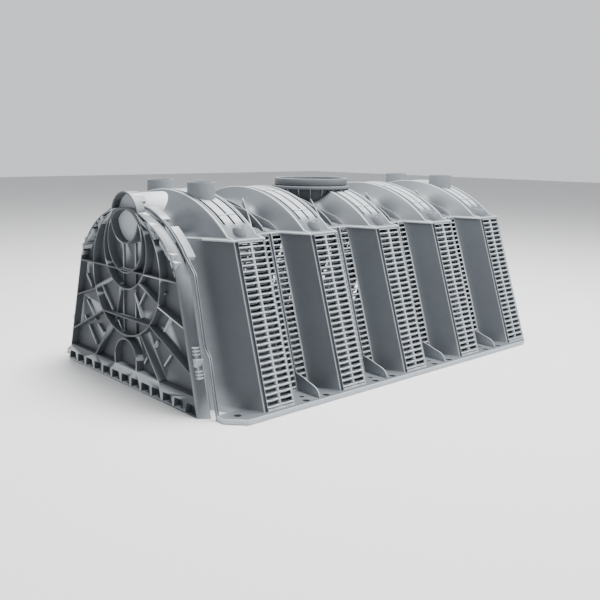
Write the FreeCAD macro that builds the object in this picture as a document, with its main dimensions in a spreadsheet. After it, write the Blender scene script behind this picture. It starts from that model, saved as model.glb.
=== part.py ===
import FreeCAD, Part
import math
import os

import Sketcher

# Infiltration tunnel: an open-bottomed corrugated plastic vault, closed by two clip-on end plates.
# X runs along the tunnel, Y across it, Z up. The origin is the middle of the base, on the ground.

doc = FreeCAD.newDocument("infiltration_tunnel")
sheet = doc.addObject("Spreadsheet::Sheet", "sizes")

# Driving dimensions in millimetres, one named cell each.
DIMENSIONS = [
    ("length", 1160),
    ("width", 800),
    ("wall", 4),
    ("flange_thickness", 12),
    ("corner_cut", 38),
    ("ridge_count", 5),
    ("ridge_pitch", 241),
    ("ridge_start", 95),
    ("ridge_face", 91),
    ("ridge_flare", 37),
    ("ridge_half_base", 390),
    ("ridge_half_eave", 275),
    ("ridge_half_spring", 250),
    ("ridge_crown", 481),
    ("valley_half_base", 322),
    ("valley_half_eave", 208),
    ("valley_half_spring", 181),
    ("valley_crown", 446),
    ("eave_height", 378),
    ("spring_rise", 4),
    ("collar_half_base", 339),
    ("collar_half_shoulder", 242),
    ("collar_shoulder", 309),
    ("collar_crown", 450),
    ("fin_stand", 8),
    ("fin_thickness", 3.5),
    ("fin_foot_height", 42),
    ("fin_foot_reach", 52),
    ("fin_foot_round", 26),
    ("grille_rows", 9),
    ("grille_low", 26),
    ("grille_high", 368),
    ("grille_slat", 13),
    ("grille_edge", 9),
    ("grille_bar", 5),
    ("web_across", 120),
    ("web_slant", 1.55),
    ("groove_width", 5),
    ("groove_depth", 2.2),
    ("groove_side", 14),
    ("groove_half_angle", 36),
    ("peg_radius", 16),
    ("peg_offset", 240),
    ("peg_top", 404),
    ("stub_radius", 34.5),
    ("stub_offset", 90),
    ("stub_top", 502),
    ("inlet_radius", 105),
    ("inlet_top", 500),
    ("inlet_ring", 20),
    ("inlet_lip", 7),
    ("inlet_neck", 5),
    ("inlet_lip_height", 9),
    ("inlet_place", 25),
    ("hood_radius", 60),
    ("hood_height", 416),
    ("hood_cover", 9),
    ("hood_half_angle", 50),
    ("hole_radius", 7),
    ("hole_inset", 15),
    ("hole_before_fin", 37),
    ("hole_after_fin", 28),
    ("corner_hole_inset", 38),
    ("corner_recess", 19),
    ("corner_recess_depth", 3),
    ("plate_gap", 0.3),
    ("plate_web", 4),
    ("plate_depth", 24),
    ("plate_spread", 19.2),
    ("plate_half_base", 300),
    ("plate_half_shoulder", 222),
    ("plate_shoulder", 300),
    ("rib_thickness", 3.5),
    ("ring_medium", 80),
    ("ring_large", 100),
    ("ring_main", 157.5),
    ("ring_top", 440),
    ("pipe_arch", 52),
    ("pipe_arch_height", 66),
    ("upper_rib", 288),
    ("lower_rib", 170),
    ("strip_half", 28),
    ("strip_stand", 6),
    ("short_rib_stand", 9),
    ("rim_step_count", 8),
    ("rim_step_first", 27),
    ("rim_step_turn", 5),
    ("spoke_upper_end", 190),
    ("spoke_lower_end", 92),
    ("spoke_upper_angle", 23),
    ("spoke_lower_angle", 46),
    ("spoke_foot_angle", 64),
    ("inner_spoke_start", 51),
    ("inner_spoke_end", 20.7),
    ("beam_height", 46),
    ("beam_band", 20),
    ("beam_lip", 4),
    ("beam_cells", 13),
    ("beam_cell_depth", 16),
    ("clip_height", 68),
    ("clip_width", 16),
    ("clip_middle", 118),
    ("clip_depth", 14),
]


class Size:
    """A value worked out from the sheet, kept with the expression that binds it."""

    def __init__(self, value, text):
        self.value = float(value)
        self.text = text

    def join(self, other, sign, value):
        text = other.text if isinstance(other, Size) else str(other)
        return Size(value, "(" + self.text + sign + text + ")")

    def __add__(self, other):
        return self.join(other, " + ", self.value + number(other))

    def __sub__(self, other):
        return self.join(other, " - ", self.value - number(other))

    def __mul__(self, other):
        return self.join(other, " * ", self.value * number(other))

    def __truediv__(self, other):
        return self.join(other, " / ", self.value / number(other))

    def __neg__(self):
        return Size(-self.value, "(-1 * " + self.text + ")")

    def root(self):
        return Size(math.sqrt(self.value), "sqrt(" + self.text + ")")


def number(item):
    return item.value if isinstance(item, Size) else float(item)


def size(item):
    return item if isinstance(item, Size) else Size(item, str(item))


for row, (alias, value) in enumerate(DIMENSIONS, start=1):
    sheet.set("A" + str(row), alias)
    sheet.set("B" + str(row), str(value))
    sheet.setAlias("B" + str(row), alias)
doc.recompute()


def dim(alias):
    return Size(sheet.get(alias), "sizes." + alias)


def bind(item, prop, value):
    """Binds a property of an object to an expression on the sheet."""
    item.setExpression(prop, size(value).text)


def arch_radius(half_span, rise):
    """Radius of the arc that spans twice half_span and rises by rise."""
    return (half_span * half_span + rise * rise) / (rise * 2)


def plane_of(body, role):
    return next(item for item in body.Origin.OriginFeatures if item.Role == role)


def new_sketch(body, name, role, offset=0):
    """Adds a sketch on one of the body's own planes, moved along that plane's normal."""
    sketch = body.newObject("Sketcher::SketchObject", name)
    sketch.AttachmentSupport = [(plane_of(body, role), "")]
    sketch.MapMode = "FlatFace"
    bind(sketch, "AttachmentOffset.Base.z", offset)
    return sketch


def place_point(sketch, edge, end, across, up):
    """Fixes the end of an edge by its distances from the sketch's origin."""
    for kind, value, axis in (("DistanceX", across, -2), ("DistanceY", up, -1)):
        value = size(value)
        if abs(value.value) < 1e-9:
            sketch.addConstraint(Sketcher.Constraint("PointOnObject", edge, end, axis))
            continue
        ends = (-1, 1, edge, end) if value.value > 0 else (edge, end, -1, 1)
        bound = value if value.value > 0 else -value
        index = sketch.addConstraint(Sketcher.Constraint(kind, *ends, bound.value))
        sketch.setExpression("Constraints[" + str(index) + "]", bound.text)


def place_height(sketch, edge, end, up):
    """Fixes the height of a point; on a half circle it stands in for the radius."""
    bound = size(up)
    index = sketch.addConstraint(Sketcher.Constraint("DistanceY", -1, 1, edge, end, bound.value))
    sketch.setExpression("Constraints[" + str(index) + "]", bound.text)


def outline(sketch, corners):
    """Draws a closed outline. A corner is (across, up) or (across, up, radius of the arc after it).

    A positive radius bulges to the right of the way round, a negative one to the left.
    """
    first = sketch.GeometryCount
    count = len(corners)
    for index, corner in enumerate(corners):
        after = corners[(index + 1) % count]
        start = FreeCAD.Vector(number(corner[0]), number(corner[1]), 0)
        end = FreeCAD.Vector(number(after[0]), number(after[1]), 0)
        if len(corner) == 2:
            sketch.addGeometry(Part.LineSegment(start, end), False)
            continue
        radius = abs(number(corner[2]))
        chord = end - start
        side = FreeCAD.Vector(chord.y, -chord.x, 0).normalize()
        if number(corner[2]) < 0:
            side = side * -1
        sagitta = radius - math.sqrt(max(radius ** 2 - (chord.Length / 2) ** 2, 0.0))
        middle = (start + end) * 0.5 + side * sagitta
        sketch.addGeometry(Part.Arc(start, middle, end), False)
    for index, corner in enumerate(corners):
        edge = first + index
        before = first + (index - 1) % count
        start = edge_start(sketch, edge, corner)
        sketch.addConstraint(Sketcher.Constraint(
            "Coincident", before, 3 - edge_start(sketch, before, corners[(index - 1) % count]), edge, start))
        place_point(sketch, edge, start, corner[0], corner[1])
        if len(corner) == 3:
            radius = size(corner[2])
            radius = radius if radius.value > 0 else -radius
            after = corners[(index + 1) % count]
            if abs(radius.value - abs(number(after[0]) - number(corner[0])) / 2) < 1e-6:
                place_height(sketch, edge, 3, corner[1])
                continue
            number_of = sketch.addConstraint(Sketcher.Constraint("Radius", edge, radius.value))
            sketch.setExpression("Constraints[" + str(number_of) + "]", radius.text)


def edge_start(sketch, edge, corner):
    """Number of the edge's point that lies at its corner: an arc may run the other way."""
    start = sketch.getPoint(edge, 1)
    here = FreeCAD.Vector(number(corner[0]), number(corner[1]), 0)
    return 1 if start.distanceToPoint(here) < 1e-6 else 2


def circle(sketch, across, up, radius):
    """Draws a circle with its centre and radius bound to the sheet."""
    place = FreeCAD.Vector(number(across), number(up), 0)
    edge = sketch.addGeometry(Part.Circle(place, FreeCAD.Vector(0, 0, 1), number(radius)), False)
    place_point(sketch, edge, 3, across, up)
    index = sketch.addConstraint(Sketcher.Constraint("Radius", edge, number(radius)))
    sketch.setExpression("Constraints[" + str(index) + "]", size(radius).text)


def pad(body, sketch, length, name, both=False):
    feature = body.newObject("PartDesign::Pad", name)
    feature.Profile = sketch
    bind(feature, "Length", length)
    feature.Midplane = both
    feature.Refine = False
    return feature


def pocket(body, sketch, length, name, both=False, reverse=False):
    feature = body.newObject("PartDesign::Pocket", name)
    feature.Profile = sketch
    bind(feature, "Length", length)
    feature.Midplane = both
    feature.Reversed = reverse
    feature.Refine = False
    return feature


def loft(body, kind, sketches, name):
    feature = body.newObject("PartDesign::" + kind, name)
    feature.Profile = sketches[0]
    feature.Sections = sketches[1:]
    feature.Ruled = True
    feature.Refine = False
    return feature


def repeat(body, originals, role, step, count, name):
    """Repeats features along one of the body's axes, and makes the pattern the body's tip."""
    feature = body.newObject("PartDesign::LinearPattern", name)
    feature.Originals = originals
    feature.Direction = (plane_of(body, role), [""])
    bind(feature, "Length", step * (size(count) - 1))
    bind(feature, "Occurrences", count)
    feature.Refine = False
    body.Tip = feature
    return feature


def vault(half_base, half_eave, eave, half_spring, spring, crown):
    """Corners of a vault's section: sloping sides, a narrow ledge at the eaves and an arch."""
    radius = arch_radius(size(half_spring), size(crown) - spring)
    return [
        (-half_base, 0), (half_base, 0), (half_eave, eave),
        (half_spring, spring, radius), (-half_spring, spring), (-half_eave, eave),
    ]


def ridge_section(inset):
    return vault(
        dim("ridge_half_base") - inset, dim("ridge_half_eave") - inset, dim("eave_height") - inset,
        dim("ridge_half_spring") - inset, dim("eave_height") + dim("spring_rise") - inset,
        dim("ridge_crown") - inset)


def valley_section(inset):
    return vault(
        dim("valley_half_base") - inset, dim("valley_half_eave") - inset, dim("eave_height") - inset,
        dim("valley_half_spring") - inset, dim("eave_height") + dim("spring_rise") - inset,
        dim("valley_crown") - inset)


def collar_section(inset):
    """Corners of the plain end collar, whose sides stop at a lower shoulder."""
    half_shoulder = dim("collar_half_shoulder") - inset
    shoulder = dim("collar_shoulder")
    crown = dim("collar_crown") - inset
    half_base = dim("collar_half_base") - inset
    radius = arch_radius(half_shoulder, crown - shoulder)
    return [
        (-half_base, 0), (half_base, 0),
        (half_shoulder, shoulder, radius), (-half_shoulder, shoulder),
    ]


def near_end():
    return dim("length") / -2


def ridge_edge():
    """Place along X of the first ridge's outer face."""
    return near_end() + dim("ridge_start")


def ridge_loft(body, kind, inset, foot_inset, name):
    """One ridge: the full vault section over its face, flaring back into the valley on each side."""
    start = ridge_edge() + inset
    end = ridge_edge() + dim("ridge_face") - inset
    places = [
        (start - dim("ridge_flare"), valley_section(foot_inset)),
        (start, ridge_section(inset)),
        (end, ridge_section(inset)),
        (end + dim("ridge_flare"), valley_section(foot_inset)),
    ]
    sections = []
    for index, (place, corners) in enumerate(places):
        sketch = new_sketch(body, name + "_section_" + str(index + 1), "YZ_Plane", place)
        outline(sketch, corners)
        sections.append(sketch)
    return loft(body, kind, sections, name)


def flange(body):
    """The foot all round: a plate with its four corners cut off."""
    sketch = new_sketch(body, "flange_outline", "XY_Plane")
    half_long = dim("length") / 2
    half_wide = dim("width") / 2
    cut = dim("corner_cut")
    outline(sketch, [
        (-half_long, -half_wide + cut), (-half_long + cut, -half_wide),
        (half_long - cut, -half_wide), (half_long, -half_wide + cut),
        (half_long, half_wide - cut), (half_long - cut, half_wide),
        (-half_long + cut, half_wide), (-half_long, half_wide - cut),
    ])
    return pad(body, sketch, dim("flange_thickness"), "flange")


def prism(body, corners, start, length, name):
    sketch = new_sketch(body, name + "_section", "YZ_Plane", start)
    outline(sketch, corners)
    return pad(body, sketch, length, name)


def hollow(body, corners, start, length, name):
    sketch = new_sketch(body, name + "_section", "YZ_Plane", start)
    outline(sketch, corners)
    return pocket(body, sketch, length, name, reverse=True)


def valley_middle():
    """Place along X of the middle of the first valley, where its fin stands."""
    return ridge_edge() + (dim("ridge_pitch") + dim("ridge_face")) / 2


def fin(body):
    """A plate that follows the valley all round and sweeps out to the flange at its foot."""
    stand = dim("fin_stand")
    slope = (dim("valley_half_base") - dim("valley_half_eave")) / dim("eave_height")
    half_eave = dim("valley_half_eave") + stand
    foot = dim("flange_thickness") + dim("fin_foot_height")
    half_foot = half_eave + slope * (dim("eave_height") - foot)
    reach = half_foot + dim("fin_foot_reach")
    rounding = dim("fin_foot_round")
    toe = dim("flange_thickness") + rounding
    tip = reach + dim("fin_foot_height") / 2
    spring = dim("eave_height") + dim("spring_rise")
    half_spring = dim("valley_half_spring")
    crown = dim("valley_crown") + stand
    radius = arch_radius(half_spring, crown - spring)
    base = dim("flange_thickness") / 2
    sketch = new_sketch(body, "fin_outline", "YZ_Plane", valley_middle())
    outline(sketch, [
        (-tip, base), (tip, base), (tip, dim("flange_thickness"), rounding), (reach, toe),
        (half_foot, foot), (half_eave, dim("eave_height")),
        (half_spring, spring, radius), (-half_spring, spring), (-half_eave, dim("eave_height")),
        (-half_foot, foot), (-reach, toe, rounding), (-tip, dim("flange_thickness")),
    ])
    return pad(body, sketch, dim("fin_thickness"), "fin", both=True)


def discs(body, places, radius, low, high, name):
    """Round blocks of one radius on the crown, at places given as (along, across)."""
    sketch = new_sketch(body, name + "_rings", "XY_Plane", low)
    for along, across in places:
        circle(sketch, along, across, radius)
    return pad(body, sketch, high - low, name)


def bores(body, places, radius, top, depth, name):
    """Blind round holes of one radius, cut downwards from a given height."""
    sketch = new_sketch(body, name + "_rings", "XY_Plane", top)
    for along, across in places:
        circle(sketch, along, across, radius)
    return pocket(body, sketch, depth, name)


def haunch_webs(body):
    """Two crossed plates on each haunch of a valley, with their tops at the fin's height."""
    reach = (dim("ridge_pitch") - dim("ridge_face")) / 2 - dim("ridge_flare") - dim("fin_thickness") / 2
    run = reach * dim("web_slant")
    half = dim("fin_thickness") / 2
    middle = valley_middle()
    spring = dim("eave_height") + dim("spring_rise")
    half_spring = dim("valley_half_spring")
    crown = dim("valley_crown") + dim("fin_stand")
    plates = []
    for index, (side, turn) in enumerate(((-1, -1), (-1, 1), (1, -1), (1, 1))):
        across = dim("web_across") * side
        sketch = new_sketch(body, "web_outline_" + str(index + 1), "XY_Plane", dim("eave_height") - dim("wall"))
        outline(sketch, [
            (middle - reach - half, across - run * turn), (middle - reach + half, across - run * turn),
            (middle + reach + half, across + run * turn), (middle + reach - half, across + run * turn),
        ])
        plates.append(pad(body, sketch, crown - dim("eave_height") + dim("wall"), "web_" + str(index + 1)))
    cap = new_sketch(body, "web_cap_outline", "YZ_Plane", middle)
    clear = dim("ridge_crown") + dim("wall")
    outline(cap, [
        (-half_spring, spring), (-half_spring, clear), (half_spring, clear),
        (half_spring, spring, arch_radius(half_spring, crown - spring)),
    ])
    plates.append(pocket(body, cap, reach * 2 + dim("fin_thickness"), "web_cap", both=True))
    return plates


def crown_groove(body, along, name):
    """A groove that runs along the crown of a ridge."""
    spring = dim("eave_height") + dim("spring_rise")
    radius = arch_radius(dim("ridge_half_spring"), dim("ridge_crown") - spring)
    centre = dim("ridge_crown") - radius
    angle = math.radians(number(dim("groove_half_angle")))
    low = radius - dim("groove_depth")
    high = radius + dim("wall")
    across, up = math.sin(angle), math.cos(angle)
    sketch = new_sketch(body, name + "_outline", "YZ_Plane", along)
    outline(sketch, [
        (-low * across, centre + low * up), (-high * across, centre + high * up, -high),
        (high * across, centre + high * up), (low * across, centre + low * up, low),
    ])
    return pocket(body, sketch, dim("groove_width"), name, both=True)


def flange_holes(body):
    """Peg holes in the flange on both sides of every fin, and one in a recess at each corner."""
    edge = dim("width") / 2 - dim("hole_inset")
    holes = new_sketch(body, "flange_hole_rings", "XY_Plane", dim("flange_thickness"))
    for side in (-1, 1):
        circle(holes, valley_middle() - dim("hole_before_fin"), edge * side, dim("hole_radius"))
        circle(holes, valley_middle() + dim("hole_after_fin"), edge * side, dim("hole_radius"))
    cut = pocket(body, holes, dim("flange_thickness"), "flange_holes")
    repeat(body, [cut], "X_Axis", dim("ridge_pitch"), dim("ridge_count") - 1, "flange_hole_rows")
    inset = dim("corner_hole_inset")
    for name, radius, depth in (("corner_recess", dim("corner_recess"), dim("corner_recess_depth")),
                                ("corner_hole", dim("hole_radius"), dim("flange_thickness"))):
        rings = new_sketch(body, name + "_rings", "XY_Plane", dim("flange_thickness"))
        for end in (-1, 1):
            for side in (-1, 1):
                circle(rings, (dim("length") / 2 - inset) * end, (dim("width") / 2 - inset) * side, radius)
        pocket(body, rings, depth, name)


def tunnel_shell():
    body = doc.addObject("PartDesign::Body", "tunnel_shell")
    body.Label = "tunnel_shell"
    half_long = dim("length") / 2
    count = dim("ridge_count")
    pitch = dim("ridge_pitch")
    last = (count - 1) * pitch
    first_middle = ridge_edge() + dim("ridge_face") / 2
    far_face = ridge_edge() + last + dim("ridge_face")
    flange(body)
    prism(body, valley_section(0), ridge_edge(), far_face - ridge_edge(), "core")
    prism(body, collar_section(0), near_end(), dim("ridge_start") + dim("ridge_face") / 2, "collar")
    ridge = ridge_loft(body, "AdditiveLoft", size(0), dim("wall") / 2, "ridge")
    repeat(body, [ridge], "X_Axis", pitch, count, "ridges")

    # The far end of the last ridge is a flat wall with a short collar, in place of a flare.
    trim = new_sketch(body, "far_trim_outline", "YZ_Plane", far_face)
    outline(trim, ridge_section(-dim("wall")))
    pocket(body, trim, dim("ridge_flare") * 2, "far_trim", reverse=True)
    prism(body, collar_section(0), far_face - dim("wall"), half_long - far_face + dim("wall"), "far_collar")
    flange_end = new_sketch(body, "far_flange_outline", "XY_Plane")
    cut = dim("corner_cut")
    half_wide = dim("width") / 2
    outline(flange_end, [
        (far_face - dim("ridge_face"), -half_wide), (half_long - cut, -half_wide),
        (half_long, -half_wide + cut), (half_long, half_wide - cut),
        (half_long - cut, half_wide), (far_face - dim("ridge_face"), half_wide),
    ])
    pad(body, flange_end, dim("flange_thickness"), "far_flange")

    # Three grooves along the crown of every ridge.
    grooves = []
    for index in range(3):
        along = ridge_edge() + dim("groove_side") + (dim("ridge_face") - dim("groove_side") * 2) * index / 2
        grooves.append(crown_groove(body, along, "groove_" + str(index + 1)))
    repeat(body, grooves, "X_Axis", pitch, count, "grooves")

    webs = haunch_webs(body)
    repeat(body, webs, "X_Axis", pitch, count - 1, "webs")
    valley_fin = fin(body)
    repeat(body, [valley_fin], "X_Axis", pitch, count - 1, "fins")

    # Half tube between the end plate's hood and the first ridge.
    tube = new_sketch(body, "hood_tube_ring", "YZ_Plane", near_end())
    circle(tube, 0, dim("hood_height"), dim("hood_radius"))
    pad(body, tube, dim("ridge_start") + dim("wall"), "hood_tube")

    # Pegs at the haunches of every ridge.
    sides = (-dim("peg_offset"), dim("peg_offset"))
    peg = discs(body, [(first_middle, side) for side in sides], dim("peg_radius"),
                dim("eave_height") - dim("wall"), dim("peg_top"), "peg")
    repeat(body, [peg], "X_Axis", pitch, count, "pegs")

    # Four round sockets near the crown, on the first and the last ridge.
    sockets = [(along, dim("stub_offset") * side)
               for side in (-1, 1) for along in (first_middle, first_middle + last)]
    discs(body, sockets, dim("stub_radius"), dim("eave_height"), dim("stub_top"), "sockets")

    # The large round inlet by the middle ridge: a neck, a lip and a ring.
    inlet = dim("inlet_place")
    top = dim("inlet_top")
    for name, radius, low, high in (
        ("inlet_neck", dim("inlet_radius") - dim("inlet_neck"), dim("eave_height"), top),
        ("inlet_lip", dim("inlet_radius") + dim("inlet_lip"),
         top - dim("inlet_ring") - dim("inlet_lip_height"), top - dim("inlet_ring")),
        ("inlet_ring", dim("inlet_radius"), top - dim("inlet_ring") - 1, top),
    ):
        discs(body, [(inlet, 0)], radius, low, high, name)

    # The hollow inside, open at the bottom.
    wall = dim("wall")
    hollow(body, valley_section(wall), near_end() + dim("ridge_start"),
           far_face - ridge_edge() - wall, "core_hollow")
    hollow(body, collar_section(wall), near_end() - wall,
           dim("ridge_start") + dim("ridge_face") / 2 + wall, "collar_hollow")
    cut = ridge_loft(body, "SubtractiveLoft", wall, wall * 1.5, "ridge_hollow")
    repeat(body, [cut], "X_Axis", pitch, count - 1, "ridge_hollows")
    hollow(body, ridge_section(wall), far_face - dim("ridge_face") + wall,
           dim("ridge_face") - wall * 2, "far_ridge_hollow")
    hollow(body, collar_section(wall), far_face - wall * 2, half_long - far_face + wall * 3, "far_collar_hollow")

    # Blind bores of the sockets and the inlet.
    bores(body, sockets, dim("stub_radius") - wall, dim("stub_top"),
          dim("stub_top") - dim("ridge_crown") + wall, "socket_bores")
    bores(body, [(inlet, 0)], dim("inlet_radius") - dim("inlet_neck") - wall, top,
          top - dim("ridge_crown") + wall, "inlet_bore")
    hollow_tube = new_sketch(body, "hood_tube_bore_ring", "YZ_Plane", near_end() - wall)
    circle(hollow_tube, 0, dim("hood_height"), dim("hood_radius") - wall)
    pocket(body, hollow_tube, dim("ridge_start"), "hood_tube_bore", reverse=True)
    flange_holes(body)
    body.Tip.Refine = True
    grille(body)
    return body


def rectangle(sketch, left, low, right, high):
    outline(sketch, [(left, low), (right, low), (right, high), (left, high)])


def grille(body):
    """Open slots through both side walls, between slats: two columns on every ridge face, and one
    on each side of every fin in the valleys.
    """
    low = dim("grille_low")
    step = (dim("grille_high") - low) / dim("grille_rows")
    high = low + step - dim("grille_slat")
    left = ridge_edge() + dim("grille_edge")
    right = ridge_edge() + dim("ridge_face") - dim("grille_edge")
    middle = ridge_edge() + dim("ridge_face") / 2
    bar = dim("grille_bar") / 2
    inner = dim("fin_thickness") / 2 + bar
    outer = (dim("ridge_pitch") - dim("ridge_face")) / 2 - dim("ridge_flare") - bar
    fin_line = valley_middle()
    for name, columns, count in (
        ("ridge_slots", ((left, middle - bar), (middle + bar, right)), dim("ridge_count")),
        ("valley_slots", ((fin_line - outer, fin_line - inner), (fin_line + inner, fin_line + outer)),
         dim("ridge_count") - 1),
    ):
        sketch = new_sketch(body, name + "_outline", "XZ_Plane")
        for start, end in columns:
            rectangle(sketch, start, low, end, high)
        slot = pocket(body, sketch, dim("width"), name + "_first", both=True)
        rows(body, slot, (("Z_Axis", step, dim("grille_rows")), ("X_Axis", dim("ridge_pitch"), count)), name)


def rows(body, original, steps, name):
    """Repeats a feature along several axes at once, each given as (axis, step, count)."""
    feature = body.newObject("PartDesign::MultiTransform", name)
    feature.Originals = [original]
    patterns = []
    for role, step, count in steps:
        pattern = doc.addObject("PartDesign::LinearPattern", name + "_along_" + role[0].lower())
        pattern.Direction = (plane_of(body, role), [""])
        bind(pattern, "Length", step * (size(count) - 1))
        bind(pattern, "Occurrences", count)
        patterns.append(pattern)
    feature.Transformations = patterns
    feature.Refine = False
    body.Tip = feature
    return feature


def thin_rib(start_across, start_up, end_across, end_up):
    """Corners of a straight rib's outline, with square ends."""
    half = number(dim("rib_thickness")) / 2
    across = number(end_across) - number(start_across)
    up = number(end_up) - number(start_up)
    long = math.hypot(across, up)
    side_across = dim("rib_thickness") * (-up / long / 2)
    side_up = dim("rib_thickness") * (across / long / 2)
    return [
        (size(start_across) - side_across, size(start_up) - side_up),
        (size(end_across) - side_across, size(end_up) - side_up),
        (size(end_across) + side_across, size(end_up) + side_up),
        (size(start_across) + side_across, size(start_up) + side_up),
    ]


def end_plate(name):
    """A ribbed tray that closes an end: cut-out rings for pipes, ribs, a hood, a hollow foot beam and clips."""
    body = doc.addObject("PartDesign::Body", name)
    body.Label = name
    wall = dim("rib_thickness")
    back = near_end() - dim("plate_gap")
    front = back - dim("plate_depth")
    half_base = dim("plate_half_base")
    half_shoulder = dim("plate_half_shoulder")
    shoulder = dim("plate_shoulder")
    crown = dim("ring_top")
    taper = dim("plate_spread")

    def tray(inset, spread):
        rise = crown - inset - shoulder
        return [
            (-half_base - spread + inset, inset), (half_base + spread - inset, inset),
            (half_shoulder + spread - inset, shoulder, arch_radius(half_shoulder + spread - inset, rise)),
            (-half_shoulder - spread + inset, shoulder),
        ]

    rear = new_sketch(body, "tray_rear", "YZ_Plane", back)
    outline(rear, tray(size(0), taper))
    face = new_sketch(body, "tray_front", "YZ_Plane", front)
    outline(face, tray(size(0), size(0)))
    loft(body, "AdditiveLoft", [rear, face], "tray")
    recess = new_sketch(body, "recess_outline", "YZ_Plane", front)
    outline(recess, tray(wall, size(0)))
    pocket(body, recess, dim("plate_depth") - dim("plate_web"), "recess", reverse=True)

    def raised(build, depth, label):
        sketch = new_sketch(body, label + "_outline", "YZ_Plane", back - dim("plate_web") / 2)
        build(sketch)
        feature = pad(body, sketch, depth, label)
        feature.Reversed = True
        return feature

    full = dim("plate_depth") - dim("plate_web") / 2

    def ring(radius, up, label):
        def build(sketch):
            circle(sketch, 0, up, radius)
            circle(sketch, 0, up, radius - wall)
        raised(build, full, label)

    for label, radius in (("medium_ring", dim("ring_medium")), ("large_ring", dim("ring_large")),
                          ("main_ring", dim("ring_main"))):
        ring(radius, crown - radius, label)
    cover = dim("hood_radius") + dim("plate_gap")
    hood = new_sketch(body, "hood_outline", "YZ_Plane", front)
    circle(hood, 0, dim("hood_height"), cover + wall)
    circle(hood, 0, dim("hood_height"), cover)
    pad(body, hood, full, "hood")
    hood_roof(body, front, cover, wall)

    # Ribs between the rings and the rim, mirrored about the middle.
    raised(lambda sketch: straight_ribs(sketch, half_base, half_shoulder, shoulder, crown), full, "ribs")
    for label, up, half in (
        ("upper_rib", dim("upper_rib"), half_shoulder),
        ("lower_rib", dim("lower_rib"), chord_half(dim("ring_main"), crown - dim("ring_main") - dim("lower_rib"))),
    ):
        raised(lambda sketch: outline(sketch, thin_rib(-half, up, half, up)), full, label)

    def strip(sketch):
        top = dim("hood_height") - cover
        bottom = crown - dim("ring_main") * 2
        for side in (-1, 1):
            across = dim("strip_half") * side
            outline(sketch, thin_rib(across, bottom, across, top))
    raised(strip, dim("plate_web") / 2 + dim("strip_stand"), "middle_strip")
    raised(short_ribs, dim("plate_web") / 2 + dim("short_rib_stand"), "short_ribs")
    rim_steps(body, half_shoulder, shoulder, crown, front)
    raised(lambda sketch: pipe_arch(sketch, wall), full, "pipe_arch")

    # Foot beam with a row of pockets, and a clip block on each side.
    beam = dim("beam_height")
    lean = (half_base - half_shoulder) / shoulder

    def foot(sketch):
        top = half_base - beam * lean
        outline(sketch, [(-half_base, 0), (half_base, 0), (top, beam), (-top, beam)])
    raised(foot, full, "foot_beam")
    step = half_base * 2 / dim("beam_cells")
    low = dim("beam_lip")
    high = beam - dim("beam_band")
    cell = new_sketch(body, "cell_outline", "YZ_Plane", front)
    outline(cell, [
        (-half_base + wall, low), (-half_base + step - wall, low),
        (-half_base + step - wall, high), (-half_base + wall * 3, high),
    ])
    cells = pocket(body, cell, dim("beam_cell_depth"), "beam_cell", reverse=True)
    repeat(body, [cells], "Y_Axis", step, dim("beam_cells"), "beam_cells_row")

    def clips(sketch):
        for side in (-1, 1):
            low_up = dim("clip_middle") - dim("clip_height") / 2
            high_up = dim("clip_middle") + dim("clip_height") / 2
            inner_low = half_base - lean * low_up
            inner_high = half_base - lean * high_up
            corners = [
                (inner_low * side, low_up), ((inner_low + dim("clip_width")) * side, low_up),
                ((inner_high + dim("clip_width")) * side, high_up), (inner_high * side, high_up),
            ]
            outline(sketch, corners if side > 0 else corners[::-1])
    blocks = new_sketch(body, "clip_outline", "YZ_Plane", back - dim("clip_depth"))
    clips(blocks)
    pad(body, blocks, dim("clip_depth"), "clips")
    body.Tip.Refine = True
    return body


def chord_half(radius, distance):
    """Half the chord of a circle at a distance from its centre."""
    return (radius * radius - distance * distance).root()


def hood_roof(body, front, cover, wall):
    """The hood's roof, which reaches back over the shell's half tube."""
    angle = math.radians(number(dim("hood_half_angle")))
    across, up = math.sin(angle), math.cos(angle)
    low, high = cover, cover + wall
    base = dim("hood_height")
    sketch = new_sketch(body, "hood_roof_outline", "YZ_Plane", front)
    outline(sketch, [
        (-low * across, base + low * up), (-high * across, base + high * up, -high),
        (high * across, base + high * up), (low * across, base + low * up, low),
    ])
    return pad(body, sketch, dim("plate_depth") + dim("hood_cover"), "hood_roof")


def straight_ribs(sketch, half_base, half_shoulder, shoulder, crown):
    """Spokes from the main ring to the rim, the foot beam and the large ring."""
    lean = (half_base - half_shoulder) / shoulder
    main = dim("ring_main") - dim("rib_thickness") / 2
    main_up = crown - dim("ring_main")
    large = dim("ring_large") - dim("rib_thickness") / 2
    large_up = crown - dim("ring_large")

    def on_ring(radius, centre_up, alias):
        angle = math.radians(number(dim(alias)))
        return radius * math.cos(angle), centre_up - radius * math.sin(angle)

    def on_rim(up):
        return half_base - lean * up - dim("rib_thickness") / 2, up

    spokes = [
        (on_ring(main, main_up, "spoke_upper_angle"), on_rim(dim("spoke_upper_end"))),
        (on_ring(main, main_up, "spoke_lower_angle"), on_rim(dim("spoke_lower_end"))),
        (on_ring(main, main_up, "spoke_foot_angle"), (half_base / 2, dim("beam_height"))),
        (on_ring(large, large_up, "inner_spoke_start"), on_ring(main, main_up, "inner_spoke_end")),
    ]
    for start, end in spokes:
        outline(sketch, thin_rib(start[0], start[1], end[0], end[1]))
        outline(sketch, thin_rib(-end[0], end[1], -start[0], start[1]))


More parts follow.
